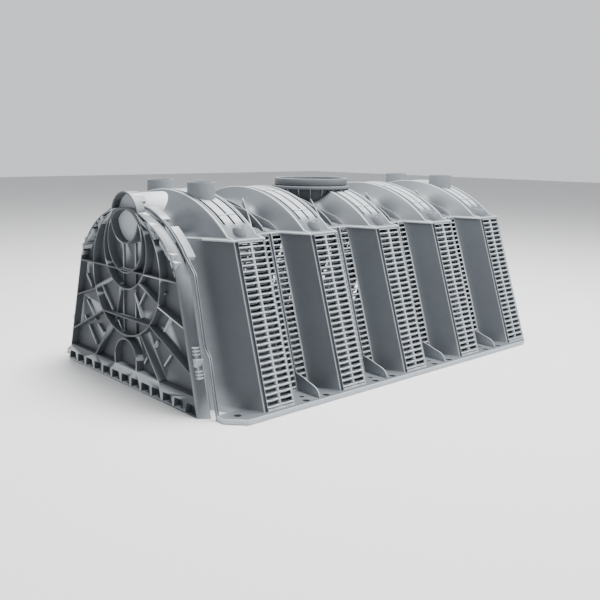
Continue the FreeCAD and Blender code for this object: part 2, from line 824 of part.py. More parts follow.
# Ends of the low ribs on the web, each as (across, up) and (across, up).
SHORT_RIBS = (
    ((214, 250), (186, 219)), ((214, 179), (166, 132)), ((228, 135), (216, 120)),
    ((206, 112), (166, 68)), ((157, 123), (131, 106)), ((130, 230), (78, 174)),
    ((38, 228), (68, 138)), ((52, 154), (27, 125)), ((-76, 244), (-46, 206)),
    ((-28, 234), (-58, 178)), ((-180, 200), (-154, 164)), ((-126, 136), (-112, 117)),
    ((-184, 115), (-154, 82)), ((-82, 86), (-68, 68)), ((-160, 254), (-150, 245)),
)


def short_ribs(sketch):
    for start, end in SHORT_RIBS:
        outline(sketch, thin_rib(start[0], start[1], end[0], end[1]))


def rim_steps(body, half_shoulder, shoulder, crown, front):
    """Low steps along the arched rim, on both sides of the hood."""
    rise = crown - shoulder
    radius = arch_radius(half_shoulder, rise)
    centre = crown - radius
    low = number(radius - dim("rib_thickness") * 2)
    high = number(radius - dim("rib_thickness") / 2)
    sketch = new_sketch(body, "rim_steps_outline", "YZ_Plane", front)
    for index in range(int(number(dim("rim_step_count")))):
        angle = math.radians(number(dim("rim_step_first")) + index * number(dim("rim_step_turn")))
        half = math.radians(number(dim("rim_step_turn"))) / 3
        for side in (-1, 1):
            corners = [
                (side * distance * math.sin(turn), number(centre) + distance * math.cos(turn))
                for distance, turn in ((low, angle - half), (high, angle - half), (high, angle + half),
                                       (low, angle + half))
            ]
            outline(sketch, corners[::-side])
    return pad(body, sketch, dim("plate_depth") - dim("plate_web") / 2, "rim_steps")


def pipe_arch(sketch, wall):
    """A small arched cut-out ring that stands on the foot beam."""
    outer = dim("pipe_arch")
    inner = outer - wall
    top = dim("pipe_arch_height")
    base = dim("beam_height") / 2
    outline(sketch, [
        (outer, base), (outer, top, outer), (-outer, top), (-outer, base),
        (-inner, base), (-inner, top, -inner), (inner, top), (inner, base),
    ])


shell = tunnel_shell()
front_plate = end_plate("front_end_plate")
rear_plate = doc.addObject("App::Link", "rear_end_plate")
rear_plate.LinkedObject = front_plate
rear_plate.Label = "rear_end_plate"
rear_plate.Placement = FreeCAD.Placement(FreeCAD.Vector(), FreeCAD.Rotation(FreeCAD.Vector(0, 0, 1), 180))
doc.recompute()
for item in doc.Objects:
    failed = [flag for flag in item.State if flag in ("Invalid", "Error")]
    if failed:
        raise RuntimeError(item.Name + " failed: " + item.getStatusString())
os.makedirs("parts", exist_ok=True)
for piece in (shell, front_plate, rear_plate):
    shape = Part.getShape(piece)
    if shape.isNull() or not shape.isValid() or len(shape.Solids) != 1:
        raise RuntimeError(piece.Label + " has no single valid solid")
    print(piece.Label, round(shape.Volume), len(shape.Faces), shape.BoundBox)
    shape.exportStep("parts/" + piece.Label + ".step")
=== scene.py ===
import math

import bmesh
import bpy
from mathutils import Matrix, Vector


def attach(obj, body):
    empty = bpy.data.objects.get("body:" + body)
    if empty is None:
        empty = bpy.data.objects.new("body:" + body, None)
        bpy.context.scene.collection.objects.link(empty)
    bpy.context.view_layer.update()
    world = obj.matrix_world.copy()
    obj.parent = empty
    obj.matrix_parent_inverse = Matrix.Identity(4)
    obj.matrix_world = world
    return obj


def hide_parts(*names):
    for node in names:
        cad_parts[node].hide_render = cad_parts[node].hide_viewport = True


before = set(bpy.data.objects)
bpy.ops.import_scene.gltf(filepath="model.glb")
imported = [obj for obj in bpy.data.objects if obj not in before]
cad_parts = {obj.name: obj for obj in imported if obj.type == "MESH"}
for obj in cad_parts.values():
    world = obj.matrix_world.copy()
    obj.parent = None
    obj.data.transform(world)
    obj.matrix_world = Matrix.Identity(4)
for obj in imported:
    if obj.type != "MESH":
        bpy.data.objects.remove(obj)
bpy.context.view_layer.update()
MM = 0.001


# The camera stands at the photograph's place, low in front of the tunnel's near corner, looking along
# its louvred side. Its place, turn and lens come from lines and arcs of the object in the photograph.
CAMERA_PLACE = Vector((-1540.9, -1580.7, 587.7)) * MM
CAMERA_YAW, CAMERA_PITCH, CAMERA_ROLL = 0.6895, -0.1181, 0.0079
FOCAL_PIXELS, MIDDLE_X, MIDDLE_Y = 756.0, 241.0, 236.6
IMAGE_SIDE, SENSOR = 600, 36.0

ahead = Vector((math.sin(CAMERA_YAW) * math.cos(CAMERA_PITCH),
                math.cos(CAMERA_YAW) * math.cos(CAMERA_PITCH), math.sin(CAMERA_PITCH)))
level = Vector((math.cos(CAMERA_YAW), -math.sin(CAMERA_YAW), 0))
upright = level.cross(ahead)
right = level * math.cos(CAMERA_ROLL) + upright * math.sin(CAMERA_ROLL)
above = upright * math.cos(CAMERA_ROLL) - level * math.sin(CAMERA_ROLL)
camera = bpy.data.objects.new("camera", bpy.data.cameras.new("camera"))
camera.data.sensor_width = SENSOR
camera.data.lens = FOCAL_PIXELS / IMAGE_SIDE * SENSOR
camera.data.shift_x = 0.5 - MIDDLE_X / IMAGE_SIDE
camera.data.shift_y = MIDDLE_Y / IMAGE_SIDE - 0.5
camera_turn = Matrix((right, above, -ahead)).transposed().to_4x4()
camera.matrix_world = Matrix.Translation(CAMERA_PLACE) @ camera_turn
bpy.context.collection.objects.link(camera)
bpy.context.scene.camera = camera


# Shader maths: a socket that can be added, scaled and mixed in plain expressions.
class Shade:
    """A shader socket of one material, with arithmetic on it."""

    def __init__(self, tree, socket):
        self.tree = tree
        self.socket = socket

    def node(self, kind, settings=None, **inputs):
        """Adds any node: its settings first, then the values or links of its sockets."""
        made = self.tree.nodes.new(kind)
        for name, value in (settings or {}).items():
            setattr(made, name, value)
        for name, value in inputs.items():
            index = name[1:]
            socket = made.inputs[int(index)] if index.isdigit() else made.inputs[name.replace("_", " ")]
            if isinstance(value, Shade):
                self.tree.links.new(value.socket, socket)
            else:
                socket.default_value = value
        return made

    def math(self, operation, *values):
        made = self.node("ShaderNodeMath", {"operation": operation},
                         **{"i" + str(index): value for index, value in enumerate(values)})
        return Shade(self.tree, made.outputs[0])

    def __add__(self, other):
        return self.math("ADD", self, other)

    def __radd__(self, other):
        return self.math("ADD", other, self)

    def __sub__(self, other):
        return self.math("SUBTRACT", self, other)

    def __rsub__(self, other):
        return self.math("SUBTRACT", other, self)

    def __mul__(self, other):
        return self.math("MULTIPLY", self, other)

    def clamp(self, low, high):
        return self.math("MINIMUM", self.math("MAXIMUM", self, low), high)

    def ramp(self, low, high):
        """0 below low, 1 above high and smooth between."""
        made = self.node("ShaderNodeMapRange", {"interpolation_type": "SMOOTHSTEP"},
                         Value=self, From_Min=low, From_Max=high)
        return Shade(self.tree, made.outputs[0])

    def mix(self, first, second):
        """A colour between first and second, by this value."""
        made = self.node("ShaderNodeMix", {"data_type": "RGBA"}, i0=self, i6=first, i7=second)
        return Shade(self.tree, made.outputs[2])


# Every piece is moulded polypropylene with recycled black in it: a matt blue-grey with a fine sparkle of
# grain from the tool, with a painted highlight paling the rounded edges and painted shade darkening the
# recesses.
# The palest colour is a painted highlight, laid only on sharp edges.
PAINTED_HIGHLIGHT_COLOUR = (0.42, 0.455, 0.485, 1)
MIDDLE = (0.088, 0.101, 0.114, 1)
# The darkest colour: the low end of the plastic's random tone, and also the painted shade laid into hollows.
DARK_TONE_AND_SHADE = (0.022, 0.026, 0.031, 1)
GRAIN_SCALE, CLOUD_SCALE, SCUFF_SCALE = 900, 7, 60
GRAIN_SHARE, CLOUD_SHARE, SCUFF_SHARE, BODY_SHARE = 0.55, 0.35, 0.2, 0.42
# PAINTED_SHADE_SHARE sets how strongly the painted shade darkens hollows.
EDGE_FROM, EDGE_TO, HOLLOW_FROM, HOLLOW_TO, PAINTED_SHADE_SHARE = 0.515, 0.60, 0.40, 0.49, 0.45
GRAIN_BUMP, GRAIN_HEIGHT = 0.22, 0.0004


def plastic(name, tint=0.0):
    """The moulding's plastic; tint moves the body colour towards the pale one."""
    material = bpy.data.materials.new(name)
    material.use_nodes = True
    tree = material.node_tree
    shader = tree.nodes["Principled BSDF"]
    base = Shade(tree, None)
    place = Shade(tree, base.node("ShaderNodeTexCoord").outputs["Object"])

    def noise(scale, detail, rough):
        made = base.node("ShaderNodeTexNoise", None, Vector=place,
                         Scale=scale, Detail=detail, Roughness=rough)
        return Shade(tree, made.outputs["Fac"])

    grain = noise(GRAIN_SCALE, 2.0, 0.6)
    cloud = noise(CLOUD_SCALE, 3.0, 0.55)
    scuff = noise(SCUFF_SCALE, 4.0, 0.7)
    pointed = Shade(tree, base.node("ShaderNodeNewGeometry").outputs["Pointiness"])
    # Painted highlight: sharp convex edges, found by pointiness, are paled as if light caught them.
    painted_highlight = pointed.ramp(EDGE_FROM, EDGE_TO)
    # Painted shade: concave hollows, found by pointiness, are darkened.
    painted_shade = 1 - pointed.ramp(HOLLOW_FROM, HOLLOW_TO)
    body = (cloud - 0.5) * CLOUD_SHARE + (grain - 0.5) * GRAIN_SHARE + (scuff - 0.5) * SCUFF_SHARE
    colour = (body + BODY_SHARE + tint).clamp(0, 1).mix(DARK_TONE_AND_SHADE, MIDDLE)
    # Painted highlight on the edges, varied a little by the scuff noise.
    colour = (painted_highlight * (scuff * 0.4 + 0.70)).clamp(0, 1).mix(colour, PAINTED_HIGHLIGHT_COLOUR)
    # Painted shade in the hollows.
    colour = (painted_shade * PAINTED_SHADE_SHARE).mix(colour, DARK_TONE_AND_SHADE)
    tree.links.new(colour.socket, shader.inputs["Base Color"])
    rough = 0.50 + grain * 0.12 + (scuff - 0.5) * 0.10
    tree.links.new(rough.socket, shader.inputs["Roughness"])
    bump = base.node("ShaderNodeBump", None, Strength=GRAIN_BUMP, Distance=GRAIN_HEIGHT,
                     Height=grain * 0.7 + scuff * 0.3)
    tree.links.new(bump.outputs["Normal"], shader.inputs["Normal"])
    return material


shell_plastic = plastic("shell_plastic")
plate_plastic = plastic("plate_plastic", -0.02)


def finished(name, mesh, material, node):
    """Puts a finished mesh in the scene as the piece that stands for one node of the source."""
    piece = bpy.data.objects.new(name, mesh)
    mesh.materials.append(material)
    bpy.context.collection.objects.link(piece)
    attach(piece, "root")
    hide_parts(node)


def evaluated(carrier):
    """The plain mesh of an object with its modifiers or curve settings applied; the object goes."""
    bpy.context.collection.objects.link(carrier)
    graph = bpy.context.evaluated_depsgraph_get()
    mesh = bpy.data.meshes.new_from_object(carrier.evaluated_get(graph))
    bpy.data.objects.remove(carrier)
    return mesh


def baked(name, mesh, modifiers):
    """Applies modifiers, given as (kind, settings), to a mesh and returns the plain result."""
    carrier = bpy.data.objects.new(name, mesh)
    for kind, settings in modifiers:
        modifier = carrier.modifiers.new(kind, kind)
        for key, value in settings.items():
            setattr(modifier, key, value)
    return evaluated(carrier)


def rounded(width):
    """A small bevel on every sharp edge, as a mould tool leaves it."""
    return ("BEVEL", {"width": width * MM, "segments": 2, "limit_method": "ANGLE",
                      "angle_limit": math.radians(32), "harden_normals": False})


def thickened(thick, even=True):
    """Gives a sheet its wall thickness, inward from its outer face."""
    return ("SOLIDIFY", {"thickness": thick * MM, "offset": -1.0, "use_even_offset": even})


SHARP_ANGLE, WALL_SHARP_ANGLE = 35, 28
SAME_PLACE, SAME_PLACE_FINE = 0.02 * MM, 0.01 * MM


def crisp(mesh, angle=SHARP_ANGLE):
    """Smooth shading that keeps every edge above the angle sharp."""
    mesh.shade_smooth()
    mesh.set_sharp_from_angle(angle=math.radians(angle))
    return mesh


def cleaned(mesh, merge):
    """Joins points that share a place and turns the faces of a closed mesh outward."""
    work = bmesh.new()
    work.from_mesh(mesh)
    bmesh.ops.remove_doubles(work, verts=work.verts, dist=merge)
    bmesh.ops.recalc_face_normals(work, faces=work.faces)
    work.to_mesh(mesh)
    work.free()


def solid(name, points, faces, modifiers=()):
    """A closed mesh from points in millimetres, with its modifiers applied."""
    mesh = bpy.data.meshes.new(name)
    mesh.from_pydata([Vector(point) * MM for point in points], [], faces)
    mesh.validate()
    cleaned(mesh, SAME_PLACE)
    if modifiers:
        mesh = baked(name, mesh, modifiers)
    return crisp(mesh)


def sheet(name, points, faces, modifiers, angle=SHARP_ANGLE):
    """An open sheet from points in millimetres, with its faces upward and its modifiers applied."""
    mesh = bpy.data.meshes.new(name)
    mesh.from_pydata([Vector(point) * MM for point in points], [], faces)
    work = bmesh.new()
    work.from_mesh(mesh)
    bmesh.ops.recalc_face_normals(work, faces=work.faces)
    top = max(work.faces, key=lambda face: face.calc_center_median().z)
    if top.normal.z < 0:
        bmesh.ops.reverse_faces(work, faces=work.faces)
    work.to_mesh(mesh)
    work.free()
    return crisp(baked(name, mesh, modifiers), angle)


def joined(name, meshes):
    """One mesh out of several, with nothing below the ground."""
    whole = bmesh.new()
    for mesh in meshes:
        whole.from_mesh(mesh)
    for vertex in whole.verts:
        vertex.co.z = max(vertex.co.z, 0)
    result = bpy.data.meshes.new(name)
    whole.to_mesh(result)
    whole.free()
    return crisp(result)


def prism(outline, low, high):
    """Points and faces of a straight prism from x = low to high with an outline of (y, z)."""
    count = len(outline)
    points = [(x, y, z) for x in (low, high) for y, z in outline]
    faces = [tuple(range(count)), tuple(range(2 * count - 1, count - 1, -1))]
    faces += [(i, i + count, (i + 1) % count + count, (i + 1) % count) for i in range(count)]
    return points, faces


BOX_FACES = [(0, 1, 3, 2), (4, 6, 7, 5), (0, 4, 5, 1), (2, 3, 7, 6), (1, 5, 7, 3), (0, 2, 6, 4)]


def box(low, high):
    """Points and faces of a box between two corners."""
    corners = [(x, y, z) for x in (low[0], high[0]) for y in (low[1], high[1]) for z in (low[2], high[2])]
    return corners, BOX_FACES


def arch_circle(half_span, crown, spring):
    """Radius and centre height of an arch that rises from spring to crown over half its span."""
    rise = crown - spring
    radius = (half_span ** 2 + rise ** 2) / (2 * rise)
    return radius, crown - radius


# The shell's walls: one moulding whose section swells from valley to ridge five times along its length.
# The ridges' outer faces and the valleys are open grilles, and the slanted returns between them are plain.
NEAR_END, FAR_END, WALL = -580, 580, 4
RIDGES, PITCH, FIRST_RIDGE, FACE, FLARE = 5, 241, -485, 91, 37
FLARE_FOOT, FLARE_EASE = 9, 18
FLANGE_TOP, EAVE = 12, 378
RIDGE = {"base": 390, "eave": 275, "spring": 250, "crown": 481}
VALLEY = {"base": 322, "eave": 208, "spring": 181, "crown": 446}
CORNER = ((1.0, -3.0), (-1.5, 0.6), (-5, 1.8))
PANEL_LOW, PANEL_HIGH, PANEL_LEFT, PANEL_RIGHT, PANEL_ROWS = 16, 372, 12, 4.5, 8
CHANNEL_START, CHANNEL_END, CHANNEL_DEPTH, CHANNEL_SLOPE = 2.4, 9.5, 4.5, 1.5
GROOVES, FIRST_GROOVE, GROOVE_STEP, GROOVE_WIDTH, GROOVE_SLOPE = 3, 19, 29.5, 5, 0.8
GROOVE_DEPTH, GROOVE_ANGLE, GROOVE_FADE = 4.6, 37, 1.5
POCKET_START, POCKET_END, POCKET_DEPTH, POCKET_FADE = 88, 184, 19, 2.2
EDGE_STEP, NEAR = 1.2, 0.01
SPRING = EAVE + 4
VALLEY_SLOT_OUT, FIN_SLOT_IN = 33, 4
ARCH_STEPS = 40


def section(weight):
    """Half of the section between valley (weight 0) and ridge (1): side, rounded eave and arch."""
    value = {key: VALLEY[key] + (RIDGE[key] - VALLEY[key]) * weight for key in RIDGE}
    heights = [0] + [PANEL_LOW + (PANEL_HIGH - PANEL_LOW) * i / PANEL_ROWS for i in range(PANEL_ROWS + 1)]
    half = [(value["base"] + (value["eave"] - value["base"]) * z / EAVE, z) for z in heights]
    half += [(value["eave"] + out, EAVE + up) for out, up in CORNER]
    arch_start = len(half)
    radius, middle = arch_circle(value["spring"], value["crown"], SPRING)
    limit = math.asin(value["spring"] / radius)
    for i in range(ARCH_STEPS + 1):
        angle = limit * (1 - i / ARCH_STEPS)
        half.append((radius * math.sin(angle), middle + radius * math.cos(angle)))
    return half, arch_start, radius, middle


def ridge_weight(x):
    """How far the wall at x has swelled from valley to ridge, with a hollow foot and a crisp outer edge."""
    nearest = min(range(RIDGES), key=lambda i: abs(x - (FIRST_RIDGE + i * PITCH + FACE / 2)))
    start = FIRST_RIDGE + nearest * PITCH
    outside = max(start - x, x - (start + FACE), 0)
    if nearest == 0 and x < start:
        return 1 - outside / FLARE
    if outside <= FLARE - FLARE_FOOT:
        return 1 - outside / FLARE
    reach = min((outside - (FLARE - FLARE_FOOT)) / FLARE_EASE, 1)
    return (FLARE_FOOT / FLARE) * (1 - reach) ** 2


def wall_stations():
    """Places along X where the walls have a row of points."""
    foot = (-FLARE_FOOT, -5, 0, 5, FLARE_FOOT)
    stations = [FIRST_RIDGE - FLARE * 1.7, FIRST_RIDGE - FLARE, FIRST_RIDGE - FLARE / 2]
    for index in range(RIDGES):
        start = FIRST_RIDGE + index * PITCH
        end = start + FACE
        if index:
            stations += [start - FLARE + shift for shift in foot] + [start - FLARE / 2]
        stations += [start - EDGE_STEP, start, start + EDGE_STEP, start + CHANNEL_START,
                     start + CHANNEL_END, start + CHANNEL_END + CHANNEL_SLOPE]
        for groove in range(GROOVES):
            middle = start + FIRST_GROOVE + groove * GROOVE_STEP
            for reach in (GROOVE_WIDTH / 2, GROOVE_WIDTH / 2 + GROOVE_SLOPE):
                stations += [middle - reach, middle + reach]
        stations += [start + PANEL_LEFT, end - PANEL_RIGHT, end - EDGE_STEP, end]
        if index < RIDGES - 1:
            fin = end + (PITCH - FACE) / 2
            stations += [end + FLARE / 2] + [end + FLARE + shift for shift in foot]
            stations += [fin + shift for reach in (VALLEY_SLOT_OUT, FIN_SLOT_IN) for shift in (-reach, reach)]
    return sorted(set(round(x, 3) for x in stations))


def ridge_start(x):
    """Where the ridge before x starts."""
    return FIRST_RIDGE + PITCH * math.floor((x - FIRST_RIDGE) / PITCH)


def groove_depth(x):
    for groove in range(GROOVES):
        middle = ridge_start(x) + FIRST_GROOVE + groove * GROOVE_STEP
        if abs(x - middle) <= GROOVE_WIDTH / 2 + NEAR:
            return GROOVE_DEPTH
    return 0


def channel_depth(x):
    start = ridge_start(x)
    return CHANNEL_DEPTH if start + CHANNEL_START - NEAR <= x <= start + CHANNEL_END + NEAR else 0


def in_grille(x):
    """Whether the wall at x is an open grille between its lower and upper margins."""
    place = x - ridge_start(x)
    fin = FACE + (PITCH - FACE) / 2
    on_face = PANEL_LEFT < place < FACE - PANEL_RIGHT
    in_valley = FIN_SLOT_IN < abs(place - fin) < VALLEY_SLOT_OUT and x < FIRST_RIDGE + PITCH * (RIDGES - 1)
    return on_face or (in_valley and x > FIRST_RIDGE)


def wall_mesh():
    """The walls with their grooves, channels and pockets, open where the grilles go."""
    stations = wall_stations()
    points, faces = [], []
    for x in stations:
        half, arch_start, radius, middle = section(ridge_weight(x))
        placed = []
        for index, (y, z) in enumerate(half):
            if index < arch_start - len(CORNER):
                y -= channel_depth(x)
            elif index >= arch_start:
                angle = math.degrees(math.asin(min(1, y / radius)))
                deep = groove_depth(x) * max(0, min(1, (GROOVE_ANGLE - angle) / GROOVE_FADE))
                part = max(0, min(1, (y - POCKET_START) / (POCKET_END - POCKET_START)))
                pocket = max(0, 1 - ridge_weight(x) * POCKET_FADE)
                deep += POCKET_DEPTH * math.sin(math.pi * part) ** 2 * pocket
                y -= deep * y / radius
                z -= deep * (z - middle) / radius
            placed.append((y, z))
        points += [(x, y, z) for y, z in placed + [(-y, z) for y, z in reversed(placed[:-1])]]
    count = len(points) // len(stations)
    for column in range(len(stations) - 1):
        grille = in_grille((stations[column] + stations[column + 1]) / 2)
        for row in range(count - 1):
            if grille and 1 <= min(row, count - 2 - row) <= PANEL_ROWS:
                continue
            a = column * count + row
            faces.append((a, a + 1, a + count + 1, a + count))
    return sheet("walls", points, faces, [thickened(WALL)], WALL_SHARP_ANGLE)


walls = wall_mesh()


# Louvre blades: each opening of the grilles holds a nearly level blade with a rounded lip that bows out a
# little, and a tail turned down inside. One row of blades is repeated up the wall and along the ridges.
ROWS, DIVIDER, DIVIDER_DEEP, DIVIDER_STAND = 27, 5, 9, 0.3
BLADE = {"lip": 2.1, "thick": 1.4, "deep": 12, "rise": 0.8, "bow": 1.6, "tail": 8.5, "sink": 0.6}
BLADE_STEPS, BOW_REACH, BOW_DROP = 6, 5, 0.35
FIRST_ROW, PANEL_LAP = 2, 1


def louvre_tree():
    """Repeats the incoming geometry up the wall and along the tunnel."""
    tree = bpy.data.node_groups.new("louvre_rows", "GeometryNodeTree")
    face = tree.interface
    face.new_socket("Blade", in_out="INPUT", socket_type="NodeSocketGeometry")
    for name, kind in (("Rows", "NodeSocketInt"), ("Row Step", "NodeSocketVector"),
                       ("Ridges", "NodeSocketInt"), ("Ridge Step", "NodeSocketVector"),
                       ("Plastic", "NodeSocketMaterial")):
        face.new_socket(name, in_out="INPUT", socket_type=kind)
    face.new_socket("Louvres", in_out="OUTPUT", socket_type="NodeSocketGeometry")
    start = tree.nodes.new("NodeGroupInput")
    shape = start.outputs["Blade"]
    for count, step in (("Rows", "Row Step"), ("Ridges", "Ridge Step")):
        line = tree.nodes.new("GeometryNodeMeshLine")
        line.mode = "OFFSET"
        tree.links.new(start.outputs[count], line.inputs["Count"])
        tree.links.new(start.outputs[step], line.inputs["Offset"])
        copies = tree.nodes.new("GeometryNodeInstanceOnPoints")
        tree.links.new(line.outputs["Mesh"], copies.inputs["Points"])
        tree.links.new(shape, copies.inputs["Instance"])
        shape = copies.outputs["Instances"]
    real = tree.nodes.new("GeometryNodeRealizeInstances")
    tree.links.new(shape, real.inputs["Geometry"])
    paint = tree.nodes.new("GeometryNodeSetMaterial")
    tree.links.new(real.outputs["Geometry"], paint.inputs["Geometry"])
    tree.links.new(start.outputs["Plastic"], paint.inputs["Material"])
    finish = tree.nodes.new("NodeGroupOutput")
    tree.links.new(paint.outputs["Geometry"], finish.inputs["Louvres"])
    return tree


louvre_rows = louvre_tree()


def wall_half(side_of, z):
    """Half width of the outer wall at height z, on a ridge or in a valley."""
    return side_of["base"] + (side_of["eave"] - side_of["base"]) * z / EAVE


def blade_cell(left, right_edge, side_of, side):
    """One blade between two bars, at the lowest row, on one side of the tunnel."""
    low = PANEL_LOW + FIRST_ROW
    lip, thick, back = BLADE["lip"], BLADE["thick"], -BLADE["deep"]
    under = lip + BLADE["rise"] - thick
    tail = under - BLADE["tail"]
    profile = [(0.0, 0.0), (0.4, 0.9), (0.2, lip), (-1.0, lip + 0.5), (back, lip + BLADE["rise"]),
               (back, tail), (back + thick, tail), (back + thick, under), (-1.2, -0.2)]
    points, faces = [], []
    for step in range(BLADE_STEPS + 1):
        part = step / BLADE_STEPS
        x = left + (right_edge - left) * part
        bow = BLADE["bow"] * (1 - (2 * part - 1) ** 2)
        for out, up in profile:
            half = wall_half(side_of, low) - BLADE["sink"] + out + (bow if out > -BOW_REACH else 0)
            points.append((x, side * half, low + up - bow * BOW_DROP))
    count = len(profile)
    for step in range(BLADE_STEPS):
        for i in range(count):
            a, b = step * count + i, step * count + (i + 1) % count
            faces.append((a, b, b + count, a + count))
    faces += [tuple(range(count)), tuple(range(len(points) - 1, len(points) - 1 - count, -1))]
    return points, faces


def divider(middle, side):
    """The upright bar down the middle of a ridge's grille."""
    outline = []
    for stand, heights in ((DIVIDER_STAND, (PANEL_LOW - PANEL_LAP, PANEL_HIGH + PANEL_LAP)),
                           (-DIVIDER_DEEP, (PANEL_HIGH + PANEL_LAP, PANEL_LOW - PANEL_LAP))):
        outline += [(side * (wall_half(RIDGE, z) + stand), z) for z in heights]
    return prism(outline, middle - DIVIDER / 2, middle + DIVIDER / 2)


def merged(parts):
    """Points and faces of several parts as one list of each."""
    points, faces = [], []
    for part_points, part_faces in parts:
        shift = len(points)
        points += part_points
        faces += [tuple(index + shift for index in face) for face in part_faces]
    return points, faces


def louvres(name, cells, side_of, side, ridges):
    """Repeats one row of blades up a wall and along the tunnel."""
    points, faces = merged([blade_cell(left, right_edge, side_of, side) for left, right_edge in cells])
    carrier = bpy.data.objects.new(name, solid(name, points, faces))
    modifier = carrier.modifiers.new(name, "NODES")
    modifier.node_group = louvre_rows
    spacing = (PANEL_HIGH - PANEL_LOW) / ROWS
    lean = (side_of["eave"] - side_of["base"]) / EAVE
    values = {"Rows": ROWS, "Row Step": (0, side * lean * spacing * MM, spacing * MM),
              "Ridges": ridges, "Ridge Step": (PITCH * MM, 0, 0), "Plastic": shell_plastic}
    for socket in louvre_rows.interface.items_tree:
        if socket.item_type == "SOCKET" and socket.name in values:
            modifier[socket.identifier] = values[socket.name]
    return evaluated(carrier)


face_left = FIRST_RIDGE + PANEL_LEFT
face_right = FIRST_RIDGE + FACE - PANEL_RIGHT
face_middle = (face_left + face_right) / 2
fin_place = FIRST_RIDGE + (PITCH + FACE) / 2
beside_divider = DIVIDER / 2 - 0.5
face_cells = [(face_left - PANEL_LAP, face_middle - beside_divider),
              (face_middle + beside_divider, face_right + PANEL_LAP)]
valley_cells = [(fin_place - VALLEY_SLOT_OUT - PANEL_LAP, fin_place - FIN_SLOT_IN + PANEL_LAP),
                (fin_place + FIN_SLOT_IN - PANEL_LAP, fin_place + VALLEY_SLOT_OUT + PANEL_LAP)]
grille_parts = []
for side in (-1, 1):
    grille_parts.append(louvres("face_louvres", face_cells, RIDGE, side, RIDGES))
    grille_parts.append(louvres("valley_louvres", valley_cells, VALLEY, side, RIDGES - 1))
    for index in range(RIDGES):
        points, faces = divider(face_middle + index * PITCH, side)
        grille_parts.append(solid("divider", points, faces, [rounded(0.8)]))


# Fins: a thin plate across the middle of every valley, standing proud of it all round, whose foot sweeps
# out over the flange. Crossed webs stiffen each haunch of the valley, and beads run along eaves and ridges.
FIN_STAND, FIN_THICK, FIN_ARCH_STEP, FIN_HIDDEN = 8, 3.4, 12, 3
FIN_FOOT = ((309, 56), (315, 52), (324, 50.5), (338, 47), (352, 41.5),
            (366, 37.5), (376, 34), (383, 29), (388, 22), (391, 12))
WEB_MIDDLE, WEB_REACH, WEB_RUN, WEB_STEPS, WEB_RISE, WEB_LIMIT = 122, 40, 66, 8, 6, 185
EAVE_BEAD, RIDGE_BEADS, RIDGE_BEAD_STEP = 3.0, ((3.2, 3.6), (FACE - 2.2, 2.4)), 8


def arch_height(value, y, lift=0):
    """Height of a vault's arch at y."""
    radius, middle = arch_circle(value["spring"], value["crown"], SPRING)
    return middle + math.sqrt(max((radius + lift) ** 2 - y * y, 0))


def fin_solid(x):
    """The fin's ring: its outer edge, then back along an edge hidden in the wall."""
    outer = [(y, z) for y, z in reversed(FIN_FOOT)]
    outer += [(VALLEY["eave"] + FIN_STAND, EAVE - 2), (VALLEY["eave"] + FIN_STAND - 2, EAVE + 1),
              (VALLEY["spring"] + 6, SPRING + 2)]
    outer += [(y, arch_height(VALLEY, y, FIN_STAND)) for y in range(180, 0, -FIN_ARCH_STEP)]
    inner = [(wall_half(VALLEY, FLANGE_TOP) - FIN_HIDDEN, FLANGE_TOP),
             (VALLEY["eave"] - FIN_HIDDEN, EAVE - FIN_HIDDEN)]
    inner += [(y, arch_height(VALLEY, y, -FIN_HIDDEN - POCKET_DEPTH)) for y in range(168, 0, -FIN_ARCH_STEP)]
    path = outer + [(-y, z) for y, z in reversed(outer)]
    back = inner + [(-y, z) for y, z in reversed(inner)]
    return prism(path + back[::-1], x - FIN_THICK / 2, x + FIN_THICK / 2)


def web_solid(x, side, turn):
    """One plate of a haunch's cross, with its top edge at the fin's height."""
    points, faces = [], []
    direction = Vector((WEB_REACH, WEB_RUN * turn, 0)).normalized()
    normal = Vector((-direction.y, direction.x, 0)) * (FIN_THICK / 2 - 0.3)
    for step in range(WEB_STEPS + 1):
        part = 2 * step / WEB_STEPS - 1
        middle = Vector((x + WEB_REACH * part, side * WEB_MIDDLE + WEB_RUN * turn * part, 0))
        lift = FIN_STAND + WEB_RISE * abs(part) ** 2
        on_arch = abs(middle.y) < WEB_LIMIT
        top = arch_height(VALLEY, abs(middle.y), lift) if on_arch else SPRING + WEB_RISE
        for shift in (-1, 1):
            for z in (EAVE - 2, top):
                points.append(tuple(middle + normal * shift + Vector((0, 0, z))))
    for step in range(WEB_STEPS):
        a = step * 4
        faces += [(a, a + 1, a + 5, a + 4), (a + 2, a + 6, a + 7, a + 3), (a + 1, a + 3, a + 7, a + 5),
                  (a, a + 4, a + 6, a + 2)]
    last = WEB_STEPS * 4
    faces += [(0, 2, 3, 1), (last, last + 1, last + 3, last + 2)]
    return points, faces


def bead(name, path, radius):
    """A round bead of plastic along a path."""
    curve = bpy.data.curves.new(name, "CURVE")
    curve.dimensions = "3D"
    curve.bevel_depth = radius * MM
    curve.bevel_resolution = 2
    spline = curve.splines.new("POLY")
    spline.points.add(len(path) - 1)
    for point, place in zip(spline.points, path):
        point.co = (*(Vector(place) * MM), 1)
    return evaluated(bpy.data.objects.new(name, curve))


